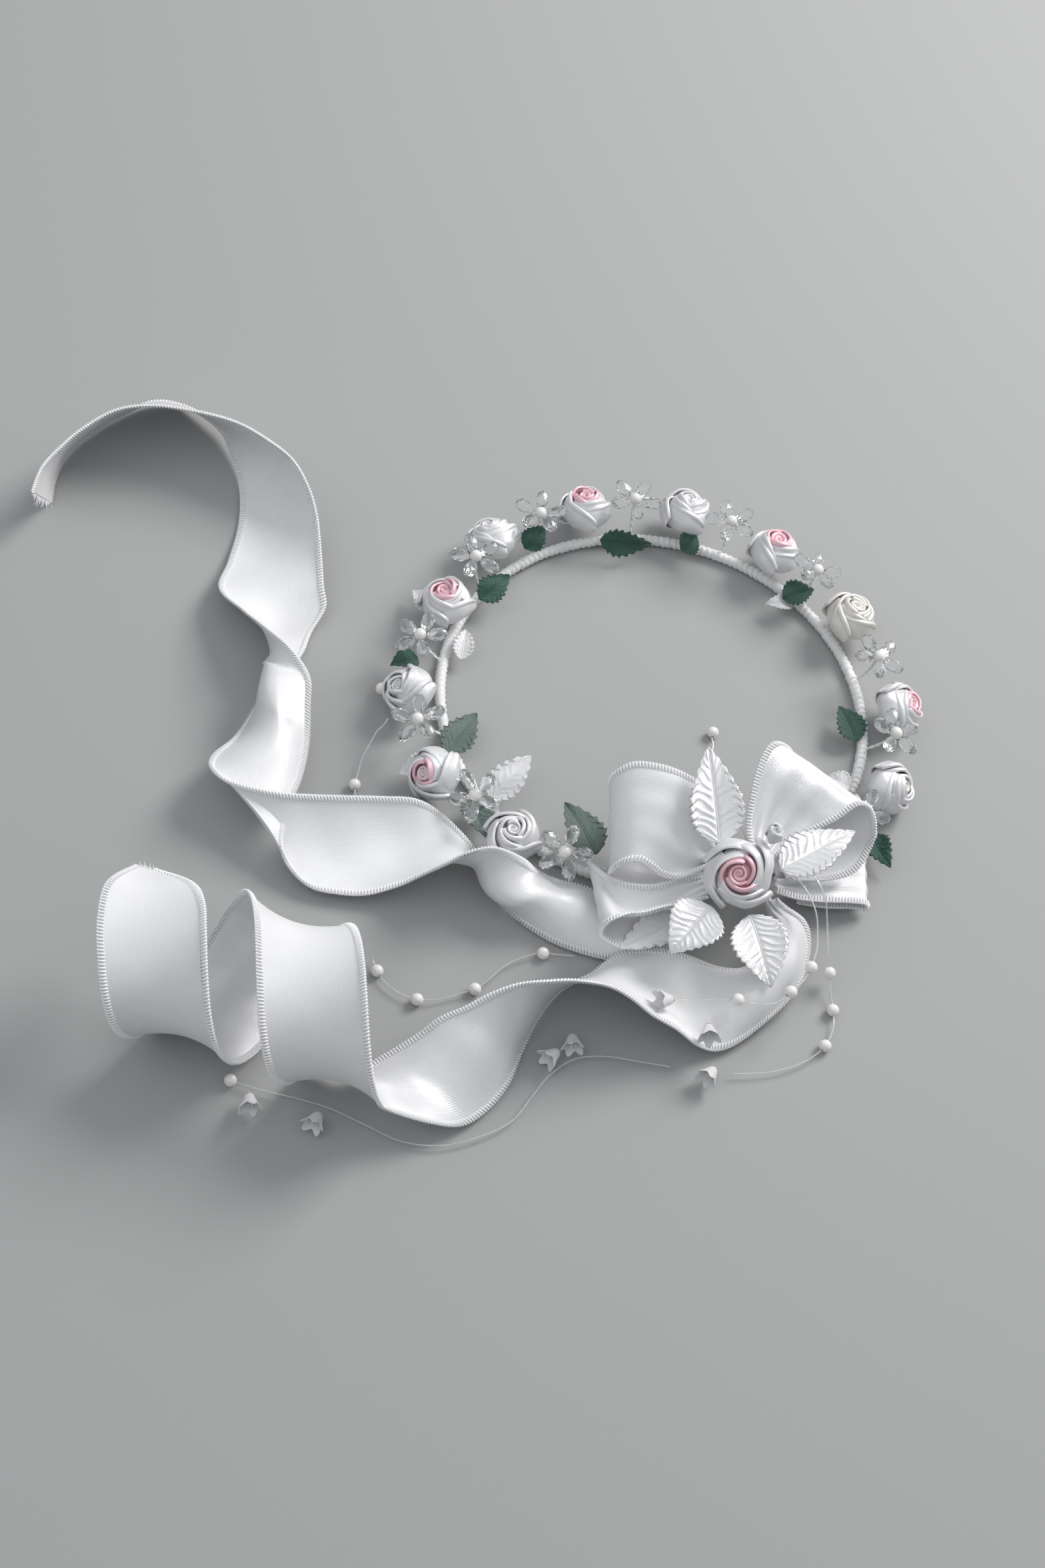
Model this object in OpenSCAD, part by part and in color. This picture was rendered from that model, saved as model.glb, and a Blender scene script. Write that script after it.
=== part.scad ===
// Flower crown: a taped wire ring set with ribbon roses, bead flowers and leaves,
// with a four-loop bow, two wired ribbon tails and a spray of pearls on clear filament.
// It lies flat: z = 0 is the table, and the origin is the centre of the ring.

/* [Ring] */
// Radius of the ring, to the middle of its wire
ring_r = 87; // [84:0.5:88]
// Diameter of the steel wire inside the tape
wire_d = 1.4; // [1:0.1:1.6]
// Outer diameter of the taped ring
wrap_d = 4.6; // [4.2:0.1:4.8]

/* [Roses and bead flowers] */
// Diameter of a ring rose
rose_d = 24; // [20:0.5:25]
// Height of a ring rose above its base
rose_h = 15; // [13:0.5:16]
// Diameter of the rose on the bow
bow_rose_d = 30; // [28:0.5:32]
// Diameter of the pearl in a bead flower
pearl_d = 5; // [4:0.1:5.4]
// Length of a clear drop petal
drop_l = 8.5; // [7:0.5:9.5]
// Greatest diameter of a clear drop petal
drop_d = 5.4; // [4:0.1:5.4]
// How far each drop is raised, degrees
drop_rise = 12; // [0:1:20]
// Number of drop petals in a bead flower
drops = 5; // [4:1:6]

/* [Ribbon] */
// Thickness of the ribbon
ribbon_t = 0.8; // [0.5:0.1:1]

/* [Leaves] */
// Thickness of a leaf
leaf_t = 0.6; // [0.4:0.1:0.8]

/* [Spray] */
// Diameter of the clear filament
filament_d = 0.6; // [0.4:0.1:0.8]
// Diameter of a pearl on the filaments
spray_pearl_d = 4.8; // [4:0.1:4.8]
// Mouth diameter of a small bell flower
bell_d = 8; // [7:0.5:9]

/* [Hidden] */

ring_z = 2.6;
wrap_bore_d = wire_d + 0.6;
steel = "silver";
tape_white = [0.96, 0.96, 0.97];
satin_white = [0.95, 0.95, 0.98];
petal_pink = [0.98, 0.72, 0.80];
cream = [0.96, 0.94, 0.88];
leaf_green = [0.13, 0.38, 0.30];
leaf_white = [0.92, 0.93, 0.94];
pearl_cream = [0.96, 0.93, 0.88];
clear = [0.85, 0.90, 0.92, 0.5];

// Angle round the ring, distance from its centre, height and outward tilt of each ring rose
ROSES = [
    [144, 95, 7, 35], [118, 94, 7, 20], [92, 94, 7, 20], [67, 92, 7, 15], [40, 93, 7, 15],
    [12, 95, 7, 50], [-11, 96, 7, 50], [168, 92, 7, 15], [196, 96, 7, 45], [219, 96, 7, 50],
    [243, 94, 7, 10]
];

// Angle round the ring, distance, height of the pearl, outward tilt of each bead flower
BEAD_FLOWERS = [
    [155, 93, 22, 0], [132, 94, 22, 0], [106, 93, 22, 0], [80, 91, 22, 0], [54, 94, 20, 20],
    [24, 94, 20, 15], [1, 97, 20, 20], [-24, 98, 19, 30], [183, 98, 20, 20], [207, 101, 20, 20],
    [231, 97, 21, 40], [256, 94, 21, 40]
];

// --- small helpers ---

function unit(v) = v / norm(v);
function clamped(list, i) = list[max(0, min(len(list) - 1, i))];

// A point at fraction t between b and c on a smooth curve through a, b, c and d
function curve_point(a, b, c, d, t) =
    0.5 * (2 * b + (c - a) * t + (2 * a - 5 * b + 4 * c - d) * t * t
        + (3 * b - a - 3 * c + d) * t * t * t);

// A smooth list through the given one, with n steps between neighbours
function smooth_list(list, n) = concat(
    [for (i = [0 : len(list) - 2], k = [0 : n - 1])
        curve_point(clamped(list, i - 1), list[i], list[i + 1], clamped(list, i + 2), k / n)],
    [list[len(list) - 1]]
);

function direction_at(points, i) =
    unit(clamped(points, i + 1) - clamped(points, i - 1));

// Turns +Z to the given direction
module point_along(v) {
    turn = atan2(v[1], v[0]);
    tip = acos(v[2] / norm(v));
    rotate([0, tip, turn]) children();
}

// --- ring ---

module hoop_wire() {
    color(steel)
    translate([0, 0, ring_z])
    rotate_extrude($fn = 96)
    translate([ring_r, 0])
    circle(d = wire_d, $fn = 24);
}

module hoop_wrap() {
    color(tape_white)
    translate([0, 0, ring_z])
    rotate_extrude($fn = 96)
    translate([ring_r, 0])
    difference() {
        circle(d = wrap_d, $fn = 32);
        circle(d = wrap_bore_d, $fn = 24);
    }
}

// --- roses ---

// A rolled rose: narrow at the base, full at two thirds of its height, dished on top
module rose_form(d, h) {
    r = d / 2;
    rotate_extrude($fn = 48)
    polygon([
        [0, 0], [0.30 * r, 0], [0.62 * r, 0.16 * h], [0.88 * r, 0.40 * h], [r, 0.68 * h],
        [0.94 * r, 0.86 * h], [0.74 * r, 0.95 * h], [0.48 * r, 0.93 * h], [0.26 * r, h], [0, h]
    ]);
}

// Puts children on the ring at an angle, distance and height, leaning outwards by tilt
module on_ring(place) {
    rotate([0, 0, place[0]])
    translate([place[1], 0, place[2]])
    rotate([0, place[3], 0])
    children();
}

module ring_rose(i, tone) {
    color(tone)
    on_ring(ROSES[i])
    rose_form(rose_d, rose_h);
}

// --- bead flowers ---

// A clear drop petal lying along +X, its thin end at the pearl
module drop() {
    rotate([0, 90, 0])
    rotate_extrude($fn = 24)
    polygon([
        [0, 0], [0.10 * drop_d, 0], [0.22 * drop_d, 0.20 * drop_l], [0.42 * drop_d, 0.48 * drop_l],
        [0.50 * drop_d, 0.70 * drop_l], [0.42 * drop_d, 0.88 * drop_l], [0.20 * drop_d, 0.98 * drop_l],
        [0, drop_l]
    ]);
}

module bead_flower(i) {
    color(clear)
    on_ring(BEAD_FLOWERS[i])
    for (k = [0 : drops - 1])
        rotate([0, 0, k * 360 / drops + 36])
        translate([pearl_d / 2 + 0.4, 0, -1])
        rotate([0, -drop_rise, 0])
        drop();
}

module flower_pearls() {
    color(pearl_cream)
    for (place = BEAD_FLOWERS)
        on_ring(place)
        sphere(d = pearl_d, $fn = 32);
    color(pearl_cream)
    translate([-108, -24, 4])
    sphere(d = pearl_d, $fn = 32);
}

// Stems run from just under each pearl down to the taped ring
module flower_stems() {
    color(tape_white)
    for (place = BEAD_FLOWERS)
        rotate([0, 0, place[0]]) {
            from = [place[1] - (pearl_d / 2 + 0.3) * sin(place[3]), 0,
                place[2] - (pearl_d / 2 + 0.3) * cos(place[3])];
            to = [ring_r + 1.2, 0, ring_z + wrap_d / 2 + 0.5];
            translate(to)
            point_along(from - to)
            cylinder(d = 1, h = norm(from - to), $fn = 16);
        }
}

// --- leaves ---

// Half width of a leaf at fraction t of its length
function leaf_half(t, w) = 0.5 * w * pow(sin(180 * pow(t, 0.8)), 0.85);

// A saw-edged leaf lying along +X with its stalk end at the origin
module leaf(l, w, teeth = 9) {
    step = 1 / teeth;
    edge = [for (i = [0 : teeth - 1])
        each [
            [l * i * step, i == 0 ? 0.5 : leaf_half(i * step, w) - 0.5],
            [l * (i + 0.8) * step, leaf_half((i + 0.8) * step, w) + 0.5]
        ]];
    back = [for (i = [len(edge) - 1 : -1 : 0]) [edge[i][0], -edge[i][1]]];
    translate([0, 0, -leaf_t / 2])
    linear_extrude(leaf_t)
    polygon(concat(edge, [[l + 1, 0]], back));
}

// Leaves as [base point, plan direction, rise of the tip, roll, length, width]
module leaf_set(list) {
    for (one = list)
        translate(one[0])
        rotate([0, -one[2], one[1]])
        rotate([one[3], 0, 0])
        leaf(one[4], one[5]);
}

GREEN_BACK = [
    [[-36, 74, 9], 12, 0, 60, 22, 11], [[-66, 60, 9], 60, 20, 20, 13, 10],
    [[-2, 80, 8], 60, 0, 30, 11, 10], [[44, 66, 9], 35, 0, 10, 15, 11]
];
GREEN_LEFT = [
    [[-79, 28, 9], 55, 10, 20, 17, 11], [[-97, -8, 8], 215, 0, 0, 12, 10],
    [[-76, -48, 5], 70, 5, 0, 22, 13], [[-62, -68, 6], 300, -2, 0, 17, 12],
    [[-10, -80, 8], 135, 10, 0, 24, 15]
];
GREEN_RIGHT = [
    [[84, 4, 6], 125, 5, 0, 17, 12], [[95, -40, 5], -55, 3, 20, 16, 10]
];
WHITE_LEFT = [
    [[-96, 18, 6], 140, 0, 0, 14, 10], [[-80, -2, 6], 95, 0, 0, 15, 8],
    [[-80, -57, 8], 215, 0, 0, 15, 11], [[-55, -66, 7], 60, 15, 0, 24, 14]
];
WHITE_RIGHT = [
    [[84, -20, 6], 165, 0, 0, 11, 9], [[49, 66, 6], 195, 0, 0, 12, 8]
];

module green_leaves_back() { color(leaf_green) leaf_set(GREEN_BACK); }
module green_leaves_left() { color(leaf_green) leaf_set(GREEN_LEFT); }
module green_leaves_right() { color(leaf_green) leaf_set(GREEN_RIGHT); }
module white_leaves_left() { color(leaf_white) leaf_set(WHITE_LEFT); }
module white_leaves_right() { color(leaf_white) leaf_set(WHITE_RIGHT); }

// --- ribbons ---
// A ribbon is a list of stations [centre, arm from the centre to one edge, sag of the middle].
// The sag is measured square to the ribbon, from the straight line between its edges.

ACROSS = [-1, -0.5, 0, 0.5, 1];

function flat_station(s) = concat(s[0], s[1], [s[2]]);
function centre_of(s) = [s[0], s[1], s[2]];
function arm_of(s) = [s[3], s[4], s[5]];

// The points of one ring of a ribbon: along its upper face, then back along its lower face
function ribbon_ring(s, along, t) =
    let (
        arm = arm_of(s),
        out = unit(cross(along, arm)),
        mid = [for (u = ACROSS) centre_of(s) + u * arm + s[6] * (1 - u * u) * out],
        face = [for (u = ACROSS) unit(cross(along, arm - 2 * u * s[6] * out))]
    )
    concat(
        [for (i = [0 : len(ACROSS) - 1]) mid[i] + face[i] * t / 2],
        [for (i = [len(ACROSS) - 1 : -1 : 0]) mid[i] - face[i] * t / 2]
    );

// A closed strip through the stations, n steps between neighbours
module ribbon(stations, n) {
    line = smooth_list([for (s = stations) flat_station(s)], n);
    centres = [for (s = line) centre_of(s)];
    rings = [for (i = [0 : len(line) - 1]) ribbon_ring(line[i], direction_at(centres, i), ribbon_t)];
    m = 2 * len(ACROSS);
    last = (len(rings) - 1) * m;
    side = [for (i = [0 : len(rings) - 2], k = [0 : m - 1])
        let (a = i * m + k, b = i * m + (k + 1) % m)
        each k < len(ACROSS)
            ? [[a, b, b + m], [a, b + m, a + m]]
            : [[a, b, a + m], [b, b + m, a + m]]];
    cap = [for (k = [0 : len(ACROSS) - 2])
        let (a = k, b = k + 1, c = m - 2 - k, d = m - 1 - k)
        each [[a, c, b], [a, d, c]]];
    end_cap = [for (f = cap) [f[0] + last, f[2] + last, f[1] + last]];
    polyhedron(
        points = [for (ring = rings) each ring],
        faces = concat(side, cap, end_cap)
    );
}

// Left tail: under the bow, half a twist, a wide lobe, folded under, another twist, a far arc
TAIL_LEFT = [
    [[24, -108, 8], [1, -5, -3], 2],
    [[12, -110, 5], [2, -11, -3], 6],
    [[-2, -109, 3], [3, -13, -2], 8],
    [[-14, -108, 3], [0, -13, -2], 11],
    [[-24, -107, 4], [-1, -11, -3], 11],
    [[-34, -105, 7], [-3, -7, -6], 13],
    [[-42, -102, 12], [-4, -1, -12], 12],
    [[-51, -98, 17], [-2, 7, -16], 8],
    [[-60, -97, 19], [-2, 12, -13], 8],
    [[-69, -96, 18], [-4, 16, -8], 8],
    [[-78, -97, 16], [-5, 17, -1], 8],
    [[-88, -100, 13], [-7, 17, 3], 7],
    [[-100, -104, 11], [-8, 17, 6], 5],
    [[-112, -107, 11], [-9, 16, 7], 5],
    [[-124, -109, 12], [-11, 14, 8], 4],
    [[-136, -107, 13], [-15, 12, 7], 3],
    [[-144, -101, 14], [-17, 11, 4], 3],
    [[-146, -89, 12], [-17, 8, 1], 5],
    [[-143, -73, 8], [-15, 6, -1], 8],
    [[-142, -58, 7], [-13, 5, -4], 12],
    [[-142, -45, 10], [-10, 5, -7], 15],
    [[-141, -34, 12], [-6, 6, -10], 15],
    [[-144, -23, 13], [1, 8, -12], 12],
    [[-149, -13, 12], [7, 10, -11], 9],
    [[-154, -2, 11], [15, 10, -6], 6],
    [[-162, 9, 9], [20, 7, 0], 2],
    [[-165, 26, 8], [18, 5, 5], 3],
    [[-168, 43, 9], [16, 1, 8], 5],
    [[-173, 57, 11], [15, -3, 10], 5],
    [[-181, 69, 13], [14, -6, 12], 4],
    [[-191, 78, 15], [12, -10, 13], 2],
    [[-204, 84, 16], [10, -12, 14], 0],
    [[-218, 86, 16], [7, -14, 15], 0],
    [[-232, 83, 17], [4, -14, 15], 0],
    [[-244, 74, 17], [2, -13, 16], 0],
    [[-254, 60, 17], [2, -13, 16], 0],
    [[-260, 46, 17], [2, -13, 16], 0],
    [[-262, 33, 17], [1, -12, 17], 0],
    [[-261, 20, 17], [0, -12, 17], 0]
];

// Right tail up to its coil: round the front, a lobe, half a twist, a second lobe
TAIL_RIGHT = [
    [[58, -83, 12], [-4, 3, -2], -2],
    [[66, -89, 9], [-7, 2, -3], -7],
    [[69, -99, 5], [-8, 0, -2], -11],
    [[68, -110, 4], [-8, 4, 0], -13],
    [[63, -119, 3], [-7, 8, 0], -13],
    [[56, -127, 3], [-5, 12, 1], -12],
    [[48, -132, 4], [-6, 15, 2], -7],
    [[40, -134, 6], [-8, 17, 3], -2],
    [[32, -135, 9], [-9, 18, 1], 1],
    [[24, -135, 12], [-8, 18, -4], 2],
    [[15, -136, 14], [-7, 17, -8], 2],
    [[7, -138, 16], [-5, 14, -13], 1],
    [[0, -141, 17], [-3, 11, -16], 0],
    [[-9, -145, 18], [0, 10, -18], 0],
    [[-16, -149, 18], [3, 9, -18], 1],
    [[-23, -154, 17], [6, 6, -16], 4],
    [[-29, -161, 15], [9, 3, -14], 6],
    [[-34, -169, 12], [12, 0, -12], 7],
    [[-39, -178, 10], [15, -5, -9], 7],
    [[-45, -187, 7], [16, -8, -6], 6],
    [[-54, -196, 5], [17, -9, -2], 5],
    [[-65, -203, 6], [17, -7, 3], 5]
];

// The coil at the end of the right tail lies on its side, along X
coil_half_depth = 30;
coil_half_height = 25;
coil_pitch = 58;
coil_x = -73;
coil_y = -184;
coil_slope = -0.06;
coil_from = 45;
coil_to = 595;
coil_step = 25;
coil_flare = 4;
coil_arm = 17;
coil_skew = 10;
coil_round = 60;

function coil_station(a) =
    let (
        x = coil_x - coil_pitch * a / 360,
        past = max(0, a - coil_to + coil_round) / coil_round,
        arm = coil_arm * sqrt(1 - 0.94 * past * past)
    )
    [
        [x, coil_y + coil_slope * (x - coil_x) - coil_half_depth * sin(a),
            2 + coil_half_height * (1 - cos(a))],
        [arm, coil_slope * arm - coil_skew * arm / coil_arm * cos(a),
            coil_skew * arm / coil_arm * sin(a)],
        coil_flare * (1 - past)
    ];

function coil_stations() = [for (a = [coil_from : coil_step : coil_to]) coil_station(a)];

module tail_left() {
    color(satin_white)
    translate([0, 0, ribbon_t])
    ribbon(TAIL_LEFT, 2);
}

module tail_right() {
    color(satin_white)
    translate([0, 0, ribbon_t])
    ribbon(concat(TAIL_RIGHT, coil_stations()), 2);
}

// Bow loops: each runs out from the knot, turns over and comes back underneath
LOOP_BACK_LEFT = [
    [[33, -82, 29], [1, 4, 2], 0],
    [[27, -81, 31], [5, 13, 5], -3],
    [[20, -79, 34], [5, 17, 7], -5],
    [[12, -78, 38], [3, 18, 7], -3],
    [[5, -78, 40], [0, 18, 7], -1],
    [[-2, -79, 39], [-3, 18, 7], 0],
    [[-7, -81, 34], [-4, 17, 7], 0],
    [[-8, -81, 27], [-4, 17, 7], 0],
    [[-4, -80, 21], [-3, 17, 5], 0],
    [[4, -79, 17], [-3, 17, 3], 0],
    [[13, -79, 17], [-3, 15, 2], 1],
    [[23, -81, 19], [-2, 11, 2], 1],
    [[32, -83, 22], [0, 5, 1], 0]
];
LOOP_BACK_RIGHT = [
    [[50, -78, 29], [-4, 1, 1], 0],
    [[52, -70, 33], [-10, 0, 2], -2],
    [[55, -61, 39], [-14, 3, 5], -3],
    [[59, -53, 43], [-17, 6, 6], -1],
    [[64, -46, 45], [-19, 6, 5], 0],
    [[70, -43, 40], [-19, 6, 5], 1],
    [[74, -45, 32], [-19, 7, 5], 1],
    [[74, -49, 25], [-19, 8, 5], 0],
    [[70, -57, 20], [-19, 9, 4], 0],
    [[64, -65, 18], [-15, 7, 3], 1],
    [[57, -74, 19], [-8, 3, 2], 1]
];
LOOP_FRONT_LEFT = [
    [[33, -93, 23], [-1, 4, 1], 0],
    [[25, -98, 25], [-2, 5, 0], 6],
    [[16, -103, 25], [-2, 5, -1], 8],
    [[8, -107, 26], [-3, 6, -1], 9],
    [[1, -108, 26], [-4, 8, -2], 7],
    [[-5, -107, 24], [-5, 13, -4], 2],
    [[-8, -106, 20], [-5, 16, -3], 0],
    [[-7, -106, 16], [-5, 17, -2], 0],
    [[1, -106, 13], [-5, 17, -1], 0],
    [[11, -104, 13], [-5, 16, -1], 0],
    [[22, -99, 14], [-3, 10, 0], 0],
    [[32, -94, 16], [-1, 4, 0], 0]
];
LOOP_FRONT_RIGHT = [
    [[59, -79, 15], [-1, 4, 1], 0],
    [[68, -74, 13], [-1, 8, 1], -1],
    [[78, -68, 11], [-2, 11, 1], -1],
    [[88, -64, 10], [-2, 12, 1], 0],
    [[94, -62, 8], [-2, 12, 1], 0],
    [[95, -62, 5], [-2, 12, 1], 0],
    [[89, -63, 4], [-2, 12, 0], 0],
    [[79, -67, 5], [-2, 11, 0], 0],
    [[69, -74, 7], [-1, 6, 0], 0]
];

module bow_loop_back_left() { color(satin_white) ribbon(LOOP_BACK_LEFT, 3); }
module bow_loop_back_right() { color(satin_white) ribbon(LOOP_BACK_RIGHT, 3); }
module bow_loop_front_left() { color(satin_white) ribbon(LOOP_FRONT_LEFT, 3); }
module bow_loop_front_right() { color(satin_white) ribbon(LOOP_FRONT_RIGHT, 3); }

// --- bow centre ---

knot_centre = [45, -86, 18];
bow_rose_base = [43, -88, 30];
bow_rose_lean = [-0.1, -0.75, 1];

module bow_knot() {
    color(satin_white)
    translate(knot_centre)
    scale([1.2, 0.8, 1])
    sphere(r = 8, $fn = 32);
}

// A turn of wire ties the knot down to the ring
module bow_tie_wire() {
    color(steel)
    translate([41.5, -75.4, ring_z + 3.6])
    rotate([90, 0, 118])
    rotate_extrude($fn = 48)
    translate([6.6, 0])
    circle(d = 0.8, $fn = 16);
}

module bow_rose() {
    color(petal_pink)
    translate(bow_rose_base)
    point_along(bow_rose_lean)
    rose_form(bow_rose_d, 16);
}

module bow_bud() {
    color(leaf_white)
    translate([52, -79, 43])
    rotate_extrude($fn = 32)
    polygon([[0, 0], [1.2, 0], [3.4, 3], [4, 6], [2.6, 8], [0, 8]]);
}

module bow_leaf_back() {
    color(leaf_white)
    leaf_set([[[33, -83, 38], 112, 27, 0, 37, 21]]);
}

module bow_leaf_right() {
    color(leaf_white)
    leaf_set([[[58, -87, 36], 41, 10, -10, 33, 20]]);
}

module bow_leaf_front_left() {
    color(leaf_white)
    leaf_set([[[35, -106, 30], 240, -16, 0, 24, 21]]);
}

module bow_leaf_front_right() {
    color(leaf_white)
    leaf_set([[[50, -105, 29], 302, -26, 0, 28, 22]]);
}

module bow_leaf_left() {
    color(leaf_white)
    leaf_set([[[26, -105, 16], 222, -3, 0, 28, 15]]);
}

// --- filament spray ---
// Routes of the clear filaments, from the knot outwards

// Over the right tail, below the bow rose
FILAMENT_A = [
    [60, -80, 27], [66, -84, 28], [71, -89, 27], [75, -95, 25], [77, -101, 22],
    [78, -108, 20], [77, -115, 19], [75, -121, 18], [71, -127, 18], [66, -133, 17.5],
    [59, -135, 17], [52, -135, 17], [45, -137, 17], [38, -139, 17.5], [31, -141, 18]
];
// Down to the table at the right, then round in front of the right tail
FILAMENT_B = [
    [64, -76, 27], [71, -80, 28], [77, -87, 26], [80, -94, 21], [83, -101, 14],
    [86, -108, 7], [88, -114, 3.5], [90, -121, 2.4], [91, -129, 2.4], [89, -137, 2.4],
    [84, -144, 2.4], [78, -149, 2.4], [71, -153, 2.4], [63, -156, 2.4], [56, -158, 2.4]
];
// From the left of the ring down to the table
FILAMENT_C = [
    [-102, -41, 9], [-103, -44, 8], [-105, -47, 7], [-106, -51, 6], [-107, -55, 5],
    [-108, -59, 4], [-108, -63, 3], [-108, -67, 2.4], [-108, -71, 2.4], [-107, -75, 2.4],
    [-105, -79, 2.4], [-102, -83, 2.4], [-98, -86, 2.4], [-94, -88, 2.4], [-90, -89, 2.4]
];
// Along the table between the two tails
FILAMENT_D = [
    [-10, -124, 2.4], [-16, -125, 2.4], [-22, -126, 2.4], [-28, -129, 2.4], [-33, -133, 2.4],
    [-37, -138, 2.4], [-40, -143, 2.4], [-44, -148, 2.4], [-50, -152, 2.4], [-57, -156, 2.4],
    [-64, -158, 2.4], [-71, -157, 2.4], [-77, -154, 2.4], [-81, -150, 2.4], [-84, -145, 2.4]
];
// Along the front of the right tail, past the foot of its coil
FILAMENT_E = [
    [33, -161, 2.4], [21, -162, 2.4], [9, -163, 2.4], [-2, -167, 2.4], [-10, -176, 2.4],
    [-15, -187, 2.4], [-20, -198, 2.4], [-30, -207, 2.4], [-43, -214, 2.4], [-57, -216, 2.4],
    [-71, -213, 2.4], [-84, -210, 2.4], [-97, -209, 2.4], [-110, -209, 2.4], [-122, -208, 2.4]
];
// Between the two back loops and down inside the ring
FILAMENT_F = [
    [44, -73, 29], [42, -68, 28], [40, -63, 26], [37, -58, 22], [35, -52, 17],
    [33, -46, 12], [32, -40, 8], [30, -34, 5], [29, -29, 3.4], [28, -24, 2.4],
    [28, -20, 2.4], [27, -16, 2.4], [27, -12, 2.4], [26, -9, 2.4], [26, -6, 2.4]
];

module filament(route) {
    sides = 8;
    rings = [for (i = [0 : len(route) - 1])
        let (
            along = direction_at(route, i),
            across = unit(cross(along, [0.1, 0.2, 1])),
            up = cross(across, along)
        )
        each [for (k = [0 : sides - 1])
            route[i] + filament_d / 2 * (cos(k * 360 / sides) * across + sin(k * 360 / sides) * up)]];
    last = (len(route) - 1) * sides;
    side = [for (i = [0 : len(route) - 2], k = [0 : sides - 1])
        let (a = i * sides + k, b = i * sides + (k + 1) % sides)
        each [[a, b, b + sides], [a, b + sides, a + sides]]];
    cap = [[for (k = [sides - 1 : -1 : 0]) k]];
    end_cap = [[for (k = [0 : sides - 1]) last + k]];
    color(clear)
    polyhedron(points = rings, faces = concat(side, cap, end_cap));
}

// Pearls threaded on the filaments, each bored a little wider than its filament
SPRAY_PEARLS = [
    [FILAMENT_A, 6], [FILAMENT_A, 8], [FILAMENT_A, 11], [FILAMENT_B, 5], [FILAMENT_B, 7],
    [FILAMENT_B, 9], [FILAMENT_C, 8], [FILAMENT_D, 2], [FILAMENT_D, 7], [FILAMENT_D, 10],
    [FILAMENT_D, 13], [FILAMENT_E, 14], [FILAMENT_F, 14]
];

module spray_pearls() {
    color(pearl_cream)
    for (one = SPRAY_PEARLS) {
        route = one[0];
        along = direction_at(route, one[1]);
        translate(route[one[1]])
        point_along(along)
        rotate_extrude($fn = 32)
        difference() {
            circle(d = spray_pearl_d, $fn = 32);
            square([filament_d + 0.6, spray_pearl_d + 1], center = true);
            translate([-spray_pearl_d, 0]) square(2 * spray_pearl_d, center = true);
        }
    }
}

// Small bell flowers, each given by its foot and the way its mouth faces
SPRAY_BELLS = [
    [[49, -159, 5], [-0.5, -1, 0.1]], [[43, -147, 14], [0.2, -1, 0.2]],
    [[28, -142, 18], [-1, -0.5, 0.3]], [[-5, -159, 5], [0.2, -1, 0.1]],
    [[-9, -167, 5], [-0.7, -1, 0.1]], [[-88, -214, 5], [-0.2, -1, 0.1]],
    [[-114, -213, 5], [0.3, -1, 0.1]]
];

module spray_bells() {
    color(leaf_white)
    for (one = SPRAY_BELLS)
        translate(one[0])
        point_along(one[1])
        rotate_extrude($fn = 24)
        polygon([
            [0.5, 0], [1.6, 0.4], [2.4, 2.4], [0.42 * bell_d, 5], [0.5 * bell_d, 6.4],
            [0.5 * bell_d - 0.6, 6.6], [0.36 * bell_d, 5.2], [1.8, 2.8], [0.5, 1.4]
        ]);
}

hoop_wire();
hoop_wrap();
ring_rose(0, satin_white);  // rose_01
ring_rose(1, petal_pink);  // rose_02
ring_rose(2, satin_white);  // rose_03
ring_rose(3, petal_pink);  // rose_04
ring_rose(4, cream);  // rose_05
ring_rose(5, petal_pink);  // rose_06
ring_rose(6, satin_white);  // rose_07
ring_rose(7, petal_pink);  // rose_08
ring_rose(8, satin_white);  // rose_09
ring_rose(9, petal_pink);  // rose_10
ring_rose(10, satin_white);  // rose_11
bead_flower(0);  // bead_flower_01
bead_flower(1);  // bead_flower_02
bead_flower(2);  // bead_flower_03
bead_flower(3);  // bead_flower_04
bead_flower(4);  // bead_flower_05
bead_flower(5);  // bead_flower_06
bead_flower(6);  // bead_flower_07
bead_flower(7);  // bead_flower_08
bead_flower(8);  // bead_flower_09
bead_flower(9);  // bead_flower_10
bead_flower(10);  // bead_flower_11
bead_flower(11);  // bead_flower_12
flower_pearls();
flower_stems();
green_leaves_back();
green_leaves_left();
green_leaves_right();
white_leaves_left();
white_leaves_right();
bow_knot();
bow_tie_wire();
bow_loop_back_left();
bow_loop_front_left();
bow_loop_back_right();
bow_loop_front_right();
tail_left();
tail_right();
bow_rose();
bow_bud();
bow_leaf_back();
bow_leaf_right();
bow_leaf_front_left();
bow_leaf_front_right();
bow_leaf_left();
filament(FILAMENT_A);  // filament_a
filament(FILAMENT_B);  // filament_b
filament(FILAMENT_C);  // filament_c
filament(FILAMENT_D);  // filament_d
filament(FILAMENT_E);  // filament_e
filament(FILAMENT_F);  // filament_f
spray_pearls();
spray_bells();
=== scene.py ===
"""Looks of the flower crown: taped ring, satin roses, bead flowers, leaves, bow and tails."""
import math

import bpy
import numpy as np
from mathutils import Matrix, Vector


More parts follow.
